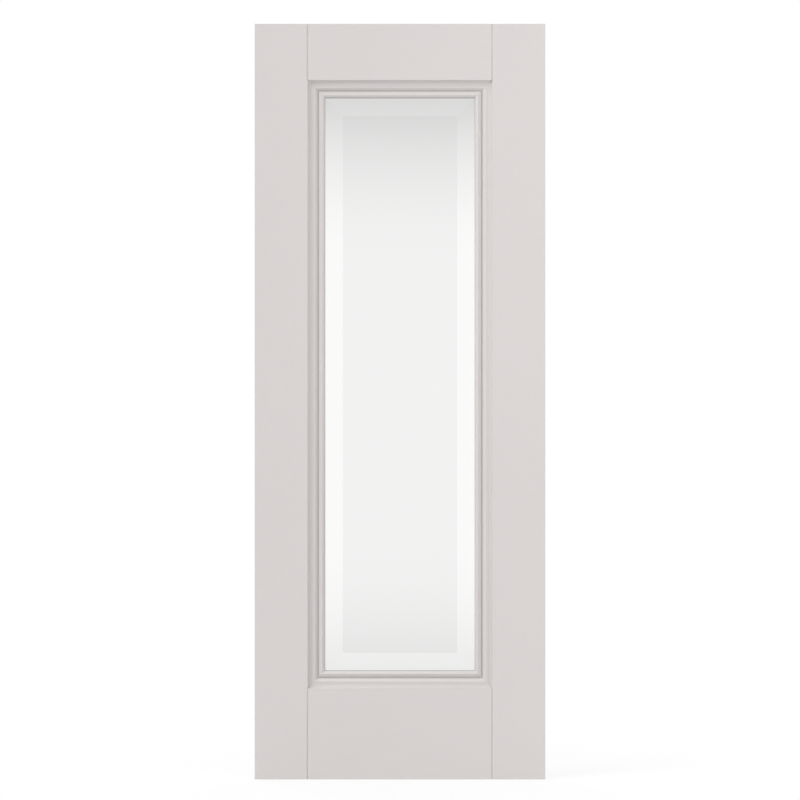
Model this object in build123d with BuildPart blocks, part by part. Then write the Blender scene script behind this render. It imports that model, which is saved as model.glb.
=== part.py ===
from build123d import *
import os

# A glazed interior door leaf: two full-height stiles, a top rail and a deeper bottom rail, and one
# tall opening with a planted moulding, a glazing bead and a bevelled pane. All sizes are in
# millimetres. X runs across the leaf from the left edge, Y runs through it from the front face at
# -Y to the back face at +Y, with 0 at mid-thickness, and Z runs up from the bottom edge.

# Leaf
leaf_width = 762
leaf_height = 1981
leaf_thickness = 35

# Stiles and rails
stile_width = 139
top_rail_height = 148
bottom_rail_height = 238.5
lipping_thickness = 9
skin_thickness = 4
edge_round = 0.5
groove_half_width = 3
groove_depth = 3

# Moulding, from the edge of the opening towards the glass
moulding_step = 2.8
cove_width = 12
cove_sag = 2.4
fillet_width = 7
fillet_fall = 0.2
ovolo_width = 7.5
ovolo_rise = 7
ovolo_sag = 0.6
quirk_width = 2.8
quirk_depth = 1.4

# Glazing bead, seated on the ledge of the moulding and on the glazing tape
bead_width = 15.6
bead_bearing = 4
bead_heel_height = 1
bead_crest_offset = 7.8
bead_crest_height = 5.8
bead_crest_round = 1.2
bead_sag = 1
bead_toe_height = 1.1
bead_toe_round = 0.4

# Pane and glazing tape
glass_thickness = 6
glass_rim_thickness = 3
bevel_in_sight = 47.1
glass_cover = 10.5
tape_thickness = 1.5
tape_reveal = 0.7

# Sizes that follow from those above
half_thickness = leaf_thickness / 2
core_thickness = leaf_thickness - 2 * skin_thickness
opening_width = leaf_width - 2 * stile_width
opening_height = leaf_height - top_rail_height - bottom_rail_height
opening_top = bottom_rail_height + opening_height
opening_centre = Vector(leaf_width / 2, 0, bottom_rail_height + opening_height / 2)
fillet_end = cove_width + fillet_width
moulding_width = fillet_end + ovolo_width
bead_start = moulding_width + quirk_width
sight_inset = bead_start + bead_width
glass_inset = sight_inset - glass_cover
bevel_width = glass_cover + bevel_in_sight
bevel_depth = glass_thickness - glass_rim_thickness
sight_thickness = glass_rim_thickness + bevel_depth * glass_cover / bevel_width
glass_back = -sight_thickness / 2
glass_front = glass_back + glass_thickness
bead_seat = sight_thickness / 2 + tape_thickness
quirk_floor = bead_seat - quirk_depth

# Directions out of each face and in from each side of the opening
face_sign = {"front": -1, "back": 1}
inward = {
    "left": Vector(1, 0, 0),
    "right": Vector(-1, 0, 0),
    "top": Vector(0, 0, -1),
    "bottom": Vector(0, 0, 1),
}
stile_start = {"left": 0, "right": leaf_width - stile_width}
joint_line = {"left": stile_width, "right": leaf_width - stile_width}
lipping_start = {"left": 0, "right": leaf_width - lipping_thickness}
stile_core_start = {"left": lipping_thickness, "right": leaf_width - stile_width}
rail_span = {"top": (opening_top, leaf_height), "bottom": (0, bottom_rail_height)}

os.makedirs("parts", exist_ok=True)


def save(piece, node):
    """Label a finished piece and write it to its own file."""
    piece.part.label = node
    export_step(piece.part, f"parts/{node}.step")


def upright(x_low, width, y_middle, thickness, z_low, z_high):
    """Add a square-edged slab to the piece being built."""
    with BuildSketch(Plane.XY.offset(z_low)) as plan:
        with Locations((x_low + width / 2, y_middle)):
            Rectangle(width, thickness)
    extrude(plan.sketch, amount=z_high - z_low)


def cut_groove(side, rail, face):
    """Cut the V-groove of a stile-to-rail joint out of the piece being built."""
    middle = joint_line[side]
    surface = face_sign[face] * half_thickness
    bottom = face_sign[face] * (half_thickness - groove_depth)
    z_low, z_high = rail_span[rail]
    with BuildSketch(Plane.XY.offset(z_low)) as notch:
        with BuildLine():
            Polyline(
                (middle - groove_half_width, surface),
                (middle + groove_half_width, surface),
                (middle, bottom),
                close=True,
            )
        make_face()
    extrude(notch.sketch, amount=z_high - z_low, mode=Mode.SUBTRACT)


def shown_face(piece, face):
    """The flat face of a skin that looks out of the leaf."""
    from_front = piece.faces().filter_by(Axis.Y).sort_by(Axis.Y)
    return from_front[0] if face == "front" else from_front[-1]


def section_plane(side, face):
    """Plane across a strip: x runs in from the edge of the opening, y out to the face."""
    to_glass = inward[side]
    to_face = Vector(0, face_sign[face], 0)
    to_edge = Vector(-to_glass.X * opening_width / 2, 0, -to_glass.Z * opening_height / 2)
    return Plane(origin=opening_centre + to_edge, x_dir=to_glass, z_dir=to_glass.cross(to_face))


def moulding_section(across, face):
    """Cove, sloping fillet, ovolo and quirk, then the ledge that carries the bead."""
    cove_top = half_thickness - moulding_step
    fillet_low = quirk_floor + ovolo_rise
    fillet_high = fillet_low + fillet_fall
    with BuildSketch(across) as section:
        with BuildLine():
            Line((0, 0), (0, cove_top))
            SagittaArc((0, cove_top), (cove_width, fillet_high), -cove_sag)
            Line((cove_width, fillet_high), (fillet_end, fillet_low))
            SagittaArc((fillet_end, fillet_low), (moulding_width, quirk_floor), ovolo_sag)
            Polyline(
                (moulding_width, quirk_floor),
                (bead_start, quirk_floor),
                (bead_start, bead_seat),
                (bead_start + bead_bearing, bead_seat),
                (bead_start + bead_bearing, 0),
                (0, 0),
            )
        make_face()
    return section.sketch


def bead_section(across, face):
    """Upright heel, sloping flank up to a crest, then a round down to a blunt toe at the glass."""
    heel_top = (bead_start, bead_seat + bead_heel_height)
    crest = (bead_start + bead_crest_offset, bead_seat + bead_crest_height)
    toe_top = (sight_inset, bead_seat + bead_toe_height)
    with BuildSketch(across) as section:
        with BuildLine():
            Line(heel_top, crest)
            SagittaArc(crest, toe_top, bead_sag)
            Polyline(toe_top, (sight_inset, bead_seat), (bead_start, bead_seat), heel_top)
        make_face()
        fillet(section.vertices().sort_by(Axis.Y)[-1], radius=bead_crest_round)
        toe = section.vertices().group_by(Axis.X)[-1].sort_by(Axis.Y)[-1]
        fillet(toe, radius=bead_toe_round)
    return section.sketch


def tape_section(across, face):
    """Strip between the pane and the bead: level on the back, tapered on the bevel in front."""
    tape_end = sight_inset + tape_reveal
    rim = glass_front - bevel_depth if face == "front" else -glass_back
    rise = bevel_depth * (tape_end - glass_inset) / bevel_width if face == "front" else 0
    with BuildSketch(across) as section:
        with BuildLine():
            Polyline(
                (glass_inset, rim),
                (tape_end, rim + rise),
                (tape_end, bead_seat),
                (glass_inset, bead_seat),
                close=True,
            )
        make_face()
    return section.sketch


def mitred_strip(node, section, side, face):
    """Run a section along one side of the opening and mitre both its ends."""
    across = section_plane(side, face)
    half_run = opening_height / 2 if side in ("left", "right") else opening_width / 2
    outline = section(across, face)
    with BuildPart() as strip:
        extrude(outline, amount=half_run, both=True)
        for end in (-1, 1):
            along = across.z_dir * end
            corner = across.origin + along * half_run
            split(bisect_by=Plane(origin=corner, z_dir=across.x_dir + along), keep=Keep.BOTTOM)
    save(strip, node)


# Stiles: a core with a lipping on its outer edge, and a skin on each face that runs over both
for side in ("left", "right"):
    with BuildPart() as core:
        core_width = stile_width - lipping_thickness
        upright(stile_core_start[side], core_width, 0, core_thickness, 0, leaf_height)
    save(core, f"{side}_stile_core")

    with BuildPart() as lipping:
        upright(lipping_start[side], lipping_thickness, 0, core_thickness, 0, leaf_height)
    save(lipping, f"{side}_stile_lipping")

    for face in ("front", "back"):
        skin_middle = face_sign[face] * (half_thickness - skin_thickness / 2)
        with BuildPart() as skin:
            upright(stile_start[side], stile_width, skin_middle, skin_thickness, 0, leaf_height)
            fillet(shown_face(skin, face).edges(), radius=edge_round)
            for rail in ("top", "bottom"):
                cut_groove(side, rail, face)
        save(skin, f"{side}_stile_{face}_skin")

# Rails: a core between the stiles, and a skin on each face
for rail in ("top", "bottom"):
    z_low, z_high = rail_span[rail]
    with BuildPart() as core:
        upright(stile_width, opening_width, 0, core_thickness, z_low, z_high)
    save(core, f"{rail}_rail_core")

    for face in ("front", "back"):
        skin_middle = face_sign[face] * (half_thickness - skin_thickness / 2)
        with BuildPart() as skin:
            upright(stile_width, opening_width, skin_middle, skin_thickness, z_low, z_high)
            fillet(shown_face(skin, face).edges().filter_by(Axis.X), radius=edge_round)
            for side in ("left", "right"):
                cut_groove(side, rail, face)
        save(skin, f"{rail}_rail_{face}_skin")

# Moulding, bead and tape: four mitred strips of each on both faces
for face in ("front", "back"):
    for side in inward:
        mitred_strip(f"{face}_moulding_{side}", moulding_section, side, face)
        mitred_strip(f"{face}_bead_{side}", bead_section, side, face)
        mitred_strip(f"{face}_tape_{side}", tape_section, side, face)

# Pane, bevelled all round on its front
with BuildPart() as pane:
    pane_plane = Plane(origin=opening_centre, x_dir=(1, 0, 0), z_dir=(0, -1, 0))
    with BuildSketch(pane_plane.offset(glass_back)):
        Rectangle(opening_width - 2 * glass_inset, opening_height - 2 * glass_inset)
    extrude(amount=glass_thickness)
    pane_front = shown_face(pane, "front")
    chamfer(pane_front.edges(), length=bevel_width, length2=bevel_depth, reference=pane_front)
save(pane, "glass_pane")
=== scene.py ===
import math

import bpy
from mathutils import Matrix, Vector


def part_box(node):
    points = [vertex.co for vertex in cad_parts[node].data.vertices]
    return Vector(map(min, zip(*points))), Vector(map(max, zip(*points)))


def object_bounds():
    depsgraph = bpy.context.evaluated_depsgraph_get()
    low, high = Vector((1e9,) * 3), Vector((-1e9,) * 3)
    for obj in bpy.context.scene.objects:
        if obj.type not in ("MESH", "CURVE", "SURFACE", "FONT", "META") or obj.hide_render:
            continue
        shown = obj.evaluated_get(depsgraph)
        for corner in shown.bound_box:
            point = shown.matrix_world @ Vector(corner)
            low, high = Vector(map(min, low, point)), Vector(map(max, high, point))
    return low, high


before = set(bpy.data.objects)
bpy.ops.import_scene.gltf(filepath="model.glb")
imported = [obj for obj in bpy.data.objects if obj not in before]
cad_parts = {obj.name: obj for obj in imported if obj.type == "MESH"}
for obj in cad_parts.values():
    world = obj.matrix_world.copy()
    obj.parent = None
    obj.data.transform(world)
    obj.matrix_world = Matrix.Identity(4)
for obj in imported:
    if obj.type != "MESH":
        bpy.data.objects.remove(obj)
cad_low, cad_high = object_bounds()

# Sizes from the frame, in metres. X runs across the leaf, the front is at -Y and Z is up.
leaf_height = cad_high.z - cad_low.z
leaf_front = cad_low.y
leaf_middle_x = (cad_low.x + cad_high.x) / 2
leaf_centre = (cad_low + cad_high) / 2
opening_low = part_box("front_moulding_left")[0]
opening_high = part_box("front_moulding_right")[1]

# The photograph is 800 pixels square and shows the leaf straight on.
photo_side = 800
photo_leaf_top = 23.8
photo_leaf_bottom = 779.4
metres_per_pixel = leaf_height / (photo_leaf_bottom - photo_leaf_top)
camera_lens = 135
camera_sensor = 36

# Primer, in linear colour: where it is thin, where it is full, over raised fibres, and a darker tone that is
# painted shade in the coves and quirks of the mouldings
primer_thin = (0.672, 0.640, 0.632, 1)
primer_full = (0.716, 0.682, 0.673, 1)
primer_nib = (0.640, 0.606, 0.596, 1)
primer_painted_shade = (0.600, 0.572, 0.562, 1)
tape_light = (0.30, 0.30, 0.29, 1)
tape_shade = (0.20, 0.20, 0.19, 1)
glass_tint = (0.975, 0.977, 0.970, 1)
glass_shadow = (0.90, 0.92, 0.91, 1)

# Staves of the cores, which show through the primer on the top and bottom edges
stave_width = 0.032

# Where a moulding is darkened with painted shade. In the quirk: up to quirk_shade_top from mid-thickness,
# fading over quirk_shade_fade. Over the cove and the start of the fillet: up to cove_shade_end in from the
# edge of the opening, fading over cove_shade_fade, and there only by the share cove_shade_share.
quirk_shade_top = 0.0028
quirk_shade_fade = 0.0017
cove_shade_end = 0.0150
cove_shade_fade = 0.0025
cove_shade_share = 0.42

# Eased edges of the separate pieces, in metres and radians
edge_ease = 0.0003
edge_angle = 0.5

# Studio levels, where 1 is white: soft light from all round, and what shows through the glass
soft_light = 0.65
backdrop_level = 0.935

# Round floor: its radius, where it starts to fade to white, how much of the light it sends back to the leaf,
# and how much of it shows, on top of an even glow
floor_reach = 1.15
floor_fade = 0.55
floor_corners = 64
floor_bounce = 0.7
floor_matt = 0.18
floor_glow = 0.80

# Backdrop behind the leaf. Its shade starts so far above and below the middle of the leaf, grows with the
# square of the distance from there, and fades out between the last two heights and widths.
backdrop_distance = 2.5
backdrop_reach = 6
shade_start = 0.45
shade_below = 0.63
shade_above = 0.78
shade_turn = 0.2
shade_fade_height = (1.05, 1.45)
shade_fade_width = (0.8, 2.5)

# What the front of the pane mirrors, with the X or Z of the direction between which each level changes: a
# dim gap in the middle, a pale strip on each side, weaker upwards, the room beyond them, and a pale floor
gap_level = 0.3
strip_level = 2.0
strip_inner = (0.07, 0.11)
strip_outer = (0.18, 0.24)
strip_weakens = (0.06, 0.1)
strip_share_above = 0.4
room_level = 0.5
mirrored_floor_gain = 1.1
mirrored_floor_edge = (-0.16, -0.12)

# Lamps: the distance at which their power is stated, the distances at which they stand, and their width as a
# share of that
power_distance = 10
lamp_far = 40
lamp_near = 3
lamp_width_share = 1 / 3


def add(tree, kind, inputs=None, **settings):
    """Add a node to a tree: an input that is a socket is linked, and any other is set."""
    made = tree.nodes.new(kind)
    for name, value in settings.items():
        setattr(made, name, value)
    for name, value in (inputs or {}).items():
        if isinstance(value, bpy.types.NodeSocket):
            tree.links.new(value, made.inputs[name])
        else:
            made.inputs[name].default_value = value
    return made


def calc(tree, operation, *values):
    """A Math node's result."""
    return add(tree, "ShaderNodeMath", dict(enumerate(values)), operation=operation).outputs[0]


def spread(tree, value, low, high, to_low, to_high, curve="LINEAR"):
    """Map a value from one range to another, clamped at both ends."""
    inputs = {"Value": value, "From Min": low, "From Max": high, "To Min": to_low, "To Max": to_high}
    return add(tree, "ShaderNodeMapRange", inputs, interpolation_type=curve).outputs["Result"]


def noise(tree, place, scale, detail):
    """Noise with so many features to a metre."""
    inputs = {"Vector": place, "Scale": scale, "Detail": detail}
    return add(tree, "ShaderNodeTexNoise", inputs).outputs["Fac"]


def blend(tree, share, first, second):
    """Mix two colours."""
    made = add(tree, "ShaderNodeMix", {0: share, 6: first, 7: second}, data_type="RGBA")
    return made.outputs[2]


def axes_of(tree, place):
    """The X, Y and Z of a vector."""
    return add(tree, "ShaderNodeSeparateXYZ", {"Vector": place}).outputs


def drawn_out(tree, place, run, along):
    """Coordinates drawn out along the run of a piece."""
    scale = (along, 1, 1) if run == "x" else (1, 1, along)
    return add(tree, "ShaderNodeMapping", {"Vector": place, "Scale": scale}).outputs["Vector"]


def new_material(name):
    """An empty node material, its tree and its object coordinates, which are the frame's metres."""
    material = bpy.data.materials.new(name)
    material.use_nodes = True
    tree = material.node_tree
    tree.nodes.clear()
    place = add(tree, "ShaderNodeTexCoord").outputs["Object"]
    return material, tree, place


def show(tree, shader):
    """Send a shader to the material's output."""
    add(tree, "ShaderNodeOutputMaterial", {"Surface": shader})


def sprayed(tree, place, tone, relief, depth, painted_shade=None):
    """Sprayed satin primer: a base tone and relief, under orange peel and a few fine nibs."""
    cloud = noise(tree, place, scale=2.2, detail=3)
    peel = noise(tree, place, scale=380, detail=2)
    nib = noise(tree, place, scale=170, detail=0)
    tone = calc(tree, "MULTIPLY_ADD", calc(tree, "SUBTRACT", cloud, 0.5), 0.5, tone)
    colour = blend(tree, spread(tree, tone, 0, 1, 0, 1), primer_thin, primer_full)
    colour = blend(tree, spread(tree, nib, 0.80, 0.88, 0, 0.6), colour, primer_nib)
    # Painted shade: the recesses of a moulding are darkened towards primer_painted_shade by this share.
    if painted_shade is not None:
        colour = blend(tree, painted_shade, colour, primer_painted_shade)
    height = calc(tree, "MULTIPLY_ADD", peel, 0.45, calc(tree, "MULTIPLY", relief, 0.55))
    bump = add(tree, "ShaderNodeBump", {"Strength": 0.6, "Distance": depth, "Height": height})
    shader = add(tree, "ShaderNodeBsdfPrincipled", {
        "Base Color": colour,
        "Roughness": spread(tree, peel, 0.3, 0.7, 0.50, 0.64),
        "Specular IOR Level": 0.25,
        "Normal": bump.outputs["Normal"],
    })
    show(tree, shader.outputs["BSDF"])


def primed_skin(name, run):
    """Fibreboard skin: smooth, with the faint lay of sanding along the piece."""
    material, tree, place = new_material(name)
    sanding = noise(tree, drawn_out(tree, place, run, along=0.02), scale=900, detail=2)
    tone = spread(tree, sanding, 0.3, 0.7, 0.55, 0.85)
    sprayed(tree, place, tone, sanding, depth=0.00005)
    return material


def primed_lipping(name):
    """Straight-grained lipping, whose grain shows through the primer."""
    material, tree, place = new_material(name)
    grain = noise(tree, drawn_out(tree, place, "z", along=0.015), scale=700, detail=4)
    pore = noise(tree, drawn_out(tree, place, "z", along=0.05), scale=1800, detail=1)
    tone = spread(tree, grain, 0.35, 0.65, 0.3, 0.9)
    relief = calc(tree, "SUBTRACT", grain, spread(tree, pore, 0.62, 0.72, 0, 0.5))
    sprayed(tree, place, tone, relief, depth=0.00012)
    return material


def primed_core(name, run):
    """Core of glued staves: each stave has its own tone, and the glue lines show as fine steps."""
    material, tree, place = new_material(name)
    across = axes_of(tree, place)["X" if run == "z" else "Y"]
    stave = calc(tree, "DIVIDE", across, stave_width)
    number = calc(tree, "FLOOR", stave)
    own_tone = add(tree, "ShaderNodeTexWhiteNoise", {"W": number}, noise_dimensions="1D").outputs["Value"]
    from_line = calc(tree, "ABSOLUTE", calc(tree, "SUBTRACT", calc(tree, "FRACT", stave), 0.5))
    line = spread(tree, from_line, 0.485, 0.497, 0, 1)
    grain = noise(tree, drawn_out(tree, place, run, along=0.04), scale=600, detail=4)
    tone = calc(tree, "MULTIPLY_ADD", own_tone, 0.35, spread(tree, grain, 0.35, 0.65, 0.2, 0.55))
    tone = calc(tree, "SUBTRACT", tone, calc(tree, "MULTIPLY", line, 0.5))
    relief = calc(tree, "SUBTRACT", grain, line)
    sprayed(tree, place, tone, relief, depth=0.00015)
    return material


def painted_recess_shade(tree, place, run):
    """Share of painted shade along a moulding: full in the quirk, and in part over the cove."""
    from_middle = calc(tree, "ABSOLUTE", axes_of(tree, place)["Y"])
    quirk_shade_share = spread(tree, from_middle, quirk_shade_top, quirk_shade_top + quirk_shade_fade, 1, 0, "SMOOTHSTEP")
    across = 0 if run == "z" else 2
    centre = (opening_low[across] + opening_high[across]) / 2
    reach = (opening_high[across] - opening_low[across]) / 2
    from_centre = calc(tree, "ABSOLUTE", calc(tree, "SUBTRACT", axes_of(tree, place)[across], centre))
    from_edge = calc(tree, "SUBTRACT", reach, from_centre)
    cove_shade_part = spread(tree, from_edge, cove_shade_end, cove_shade_end + cove_shade_fade, cove_shade_share, 0, "SMOOTHSTEP")
    return calc(tree, "ADD", quirk_shade_share, cove_shade_part)


def primed_profile(name, run):
    """Machined strip: fine cutter lines along its length, and fibres raised by the first coat."""
    material, tree, place = new_material(name)
    cutter = noise(tree, drawn_out(tree, place, run, along=0.004), scale=1500, detail=2)
    fibre = noise(tree, drawn_out(tree, place, run, along=0.25), scale=1100, detail=3)
    tone = calc(tree, "MULTIPLY_ADD", cutter, 0.4, spread(tree, fibre, 0.35, 0.7, 0.5, 0.3))
    relief = calc(tree, "MULTIPLY_ADD", cutter, 0.5, calc(tree, "MULTIPLY", fibre, 0.5))
    # Painted shade darkens the primer in the quirk and over the cove.
    sprayed(tree, place, tone, relief, depth=0.00006, painted_shade=painted_recess_shade(tree, place, run))
    return material


def foam_tape(name):
    """Closed-cell glazing tape with fine pores."""
    material, tree, place = new_material(name)
    pore = noise(tree, place, scale=1800, detail=3)
    colour = blend(tree, spread(tree, pore, 0.35, 0.6, 0, 1), tape_shade, tape_light)
    bump = add(tree, "ShaderNodeBump", {"Strength": 0.6, "Distance": 0.0001, "Height": pore})
    shader = add(tree, "ShaderNodeBsdfPrincipled", {
        "Base Color": colour,
        "Roughness": spread(tree, pore, 0.3, 0.7, 0.75, 0.95),
        "Normal": bump.outputs["Normal"],
    })
    show(tree, shader.outputs["BSDF"])
    return material


def clear_glass(name):
    """Polished float glass, faintly wavy, which lets the light of lamps through."""
    material, tree, place = new_material(name)
    wave = noise(tree, place, scale=6, detail=1)
    bump = add(tree, "ShaderNodeBump", {"Strength": 0.1, "Distance": 0.0002, "Height": wave})
    glass = add(tree, "ShaderNodeBsdfPrincipled", {
        "Base Color": glass_tint,
        "Roughness": 0.0,
        "IOR": 1.5,
        "Transmission Weight": 1.0,
        "Normal": bump.outputs["Normal"],
    })
    through = add(tree, "ShaderNodeBsdfTransparent", {"Color": glass_shadow})
    is_shadow = add(tree, "ShaderNodeLightPath").outputs["Is Shadow Ray"]
    inputs = {0: is_shadow, 1: glass.outputs["BSDF"], 2: through.outputs["BSDF"]}
    show(tree, add(tree, "ShaderNodeMixShader", inputs).outputs["Shader"])
    return material


def ease_edges(piece):
    """Ease the sharp edges of a CAD piece, so that each joint between pieces shows as a fine line."""
    weld = piece.modifiers.new("weld", "WELD")
    weld.merge_threshold = 0.00001
    flat = piece.modifiers.new("flat", "DECIMATE")
    flat.decimate_type = "DISSOLVE"
    flat.angle_limit = 0.001
    ease = piece.modifiers.new("ease", "BEVEL")
    ease.width = edge_ease
    ease.segments = 2
    ease.limit_method = "ANGLE"
    ease.angle_limit = edge_angle
    ease.harden_normals = True


def dress():
    """Give every CAD piece the material of its kind, laid along its run."""
    makers = {"skin": primed_skin, "core": primed_core, "moulding": primed_profile, "bead": primed_profile}
    finished = {
        "glass": clear_glass("pane_glass"),
        "tape": foam_tape("glazing_tape_foam"),
        "lipping": primed_lipping("primed_lipping"),
    }
    for kind, maker in makers.items():
        for run in ("x", "z"):
            finished[kind + run] = maker(f"primed_{kind}_along_{run}", run)
    for node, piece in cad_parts.items():
        kind = next(word for word in (*makers, "glass", "tape", "lipping") if word in node)
        run = "z" if "left" in node or "right" in node else "x"
        piece.data.materials.clear()
        piece.data.materials.append(finished[kind + run] if kind in makers else finished[kind])
        if kind != "glass":
            ease_edges(piece)


def stage_piece(name, corners, material):
    """Add a flat piece of the studio, which isn't part of the object."""
    mesh = bpy.data.meshes.new(name)
    mesh.from_pydata(corners, [], [tuple(range(len(corners)))])
    mesh.materials.append(material)
    piece = bpy.data.objects.new(name, mesh)
    bpy.context.scene.collection.objects.link(piece)
    return piece


def seen_rays(tree):
    """One for rays that show a surface: from the camera, mirrored or through glass."""
    path = add(tree, "ShaderNodeLightPath").outputs
    seen = calc(tree, "MAXIMUM", path["Is Camera Ray"], path["Is Glossy Ray"])
    return calc(tree, "MAXIMUM", seen, path["Is Transmission Ray"])


def floor_white(middle):
    """Pale floor with the leaf's shadow, which fades to white at the rim."""
    material, tree, place = new_material("floor_white")
    away = add(tree, "ShaderNodeVectorMath", {0: place, 1: middle}, operation="DISTANCE").outputs["Value"]
    fade = spread(tree, away, floor_fade, floor_reach, 0, 1, "SMOOTHSTEP")
    seen = seen_rays(tree)
    matt = add(tree, "ShaderNodeBsdfDiffuse", {"Color": spread(tree, seen, 0, 1, floor_bounce, floor_matt)})
    glow = add(tree, "ShaderNodeEmission", {"Strength": calc(tree, "MULTIPLY", seen, floor_glow)})
    shaded = add(tree, "ShaderNodeAddShader", {0: matt.outputs["BSDF"], 1: glow.outputs["Emission"]})
    through = add(tree, "ShaderNodeLightPath").outputs["Is Transmission Ray"]
    white = add(tree, "ShaderNodeEmission", {"Strength": spread(tree, through, 0, 1, 1, backdrop_level)})
    at_rim = calc(tree, "MULTIPLY", fade, seen)
    inputs = {0: at_rim, 1: shaded.outputs["Shader"], 2: white.outputs["Emission"]}
    show(tree, add(tree, "ShaderNodeMixShader", inputs).outputs["Shader"])
    return material


def make_floor():
    """Round floor under the leaf."""
    middle = Vector((leaf_middle_x, 0, cad_low.z))
    rim = []
    for number in range(floor_corners):
        turn = 2 * math.pi * number / floor_corners
        rim.append(middle + Vector((math.cos(turn), math.sin(turn), 0)) * floor_reach)
    stage_piece("floor", rim, floor_white(middle))


def backdrop_shade():
    """Pale glow, shaded above and below the middle of the leaf."""
    material, tree, place = new_material("backdrop_shade")
    inputs = {0: place, 1: leaf_centre}
    away = axes_of(tree, add(tree, "ShaderNodeVectorMath", inputs, operation="SUBTRACT").outputs["Vector"])
    sideways = calc(tree, "ABSOLUTE", away["X"])
    up_or_down = calc(tree, "ABSOLUTE", away["Z"])
    past = calc(tree, "MAXIMUM", calc(tree, "SUBTRACT", up_or_down, shade_start), 0.0)
    strength = spread(tree, away["Z"], -shade_turn, shade_turn, shade_below, shade_above)
    shade = calc(tree, "MULTIPLY", calc(tree, "MULTIPLY", past, past), strength)
    shade = calc(tree, "MULTIPLY", shade, spread(tree, up_or_down, *shade_fade_height, 1, 0, "SMOOTHSTEP"))
    shade = calc(tree, "MULTIPLY", shade, spread(tree, sideways, *shade_fade_width, 1, 0, "SMOOTHSTEP"))
    glow = add(tree, "ShaderNodeEmission", {"Strength": calc(tree, "SUBTRACT", backdrop_level, shade)})
    show(tree, glow.outputs["Emission"])
    return material


def make_backdrop():
    """Backdrop that only shows through the glass."""
    corners = []
    for x, z in ((-1, -1), (1, -1), (1, 1), (-1, 1)):
        corners.append(leaf_centre + Vector((x * backdrop_reach, backdrop_distance, z * backdrop_reach)))
    backdrop = stage_piece("backdrop", corners, backdrop_shade())
    backdrop.visible_camera = False
    backdrop.visible_diffuse = False
    backdrop.visible_glossy = False
    backdrop.visible_shadow = False


def mirrored_level(tree):
    """Brightness mirrored from each direction: in front two strips and the floor, elsewhere the room."""
    way = axes_of(tree, add(tree, "ShaderNodeTexCoord").outputs["Generated"])
    aside = calc(tree, "ABSOLUTE", way["X"])
    rise = spread(tree, aside, *strip_inner, gap_level, strip_level, "SMOOTHSTEP")
    fall = spread(tree, aside, *strip_outer, 0, strip_level - room_level, "SMOOTHSTEP")
    strips = calc(tree, "SUBTRACT", calc(tree, "SUBTRACT", rise, fall), room_level)
    strips = calc(tree, "MULTIPLY", strips, spread(tree, way["Z"], *strip_weakens, 1, strip_share_above))
    floor = spread(tree, way["Z"], *mirrored_floor_edge, mirrored_floor_gain, 0, "SMOOTHSTEP")
    in_front = calc(tree, "LESS_THAN", way["Y"], 0.0)
    return calc(tree, "MULTIPLY_ADD", calc(tree, "ADD", strips, floor), in_front, room_level)


def make_world():
    """White studio: even soft light, white for the camera, and levels of its own in and through the glass."""
    world = bpy.data.worlds.new("studio")
    bpy.context.scene.world = world
    world.use_nodes = True
    tree = world.node_tree
    tree.nodes.clear()
    path = add(tree, "ShaderNodeLightPath").outputs
    through = path["Is Transmission Ray"]
    gloss = calc(tree, "MULTIPLY", path["Is Glossy Ray"], calc(tree, "SUBTRACT", 1.0, through))
    level = calc(tree, "MULTIPLY_ADD", path["Is Camera Ray"], 1 - soft_light, soft_light)
    level = calc(tree, "MULTIPLY_ADD", gloss, calc(tree, "SUBTRACT", mirrored_level(tree), soft_light), level)
    level = calc(tree, "MULTIPLY_ADD", through, backdrop_level - soft_light, level)
    back = add(tree, "ShaderNodeBackground", {"Color": (1, 1, 1, 1), "Strength": level})
    add(tree, "ShaderNodeOutputWorld", {"Surface": back.outputs["Background"]})


def make_lamp(name, azimuth, elevation, power, distance):
    """Square soft lamp aimed at the middle of the leaf. Its light shows, and the lamp itself doesn't."""
    turn = math.radians(azimuth)
    lift = math.radians(elevation)
    way = Vector((math.sin(turn) * math.cos(lift), -math.cos(turn) * math.cos(lift), math.sin(lift)))
    lamp = bpy.data.lights.new(name, "AREA")
    lamp.size = distance * lamp_width_share
    lamp.energy = power * (distance / power_distance) ** 2
    holder = bpy.data.objects.new(name, lamp)
    bpy.context.scene.collection.objects.link(holder)
    holder.location = leaf_centre + way * distance
    holder.rotation_euler = way.to_track_quat("Z", "Y").to_euler()
    holder.visible_camera = False
    holder.visible_glossy = False
    holder.visible_transmission = False


def make_lamps():
    """Soft light on the front from both sides, and two lamps for the back."""
    make_lamp("side_left", azimuth=-75, elevation=12, power=142, distance=lamp_far)
    make_lamp("key_left", azimuth=-50, elevation=34, power=200, distance=lamp_far)
    make_lamp("top_left", azimuth=-50, elevation=60, power=144, distance=lamp_far)
    make_lamp("fill_right", azimuth=25, elevation=19, power=107, distance=lamp_near)
    make_lamp("rim_right", azimuth=50, elevation=19, power=80, distance=lamp_near)
    make_lamp("back_left", azimuth=-150, elevation=20, power=260, distance=lamp_far)
    make_lamp("back_right", azimuth=150, elevation=20, power=140, distance=lamp_far)


def make_camera():
    """Level camera straight in front, with the photograph's framing."""
    camera = bpy.data.cameras.new("camera")
    camera.lens = camera_lens
    camera.sensor_width = camera_sensor
    holder = bpy.data.objects.new("camera", camera)
    bpy.context.scene.collection.objects.link(holder)
    distance = photo_side * metres_per_pixel * camera_lens / camera_sensor
    height = (photo_leaf_bottom - photo_side / 2) * metres_per_pixel
    holder.location = (leaf_middle_x, leaf_front - distance, cad_low.z + height)
    holder.rotation_euler = Vector((0, -1, 0)).to_track_quat("Z", "Y").to_euler()
    bpy.context.scene.camera = holder


dress()
make_floor()
make_backdrop()
make_world()
make_lamps()
make_camera()
bpy.context.scene.view_settings.view_transform = "Standard"
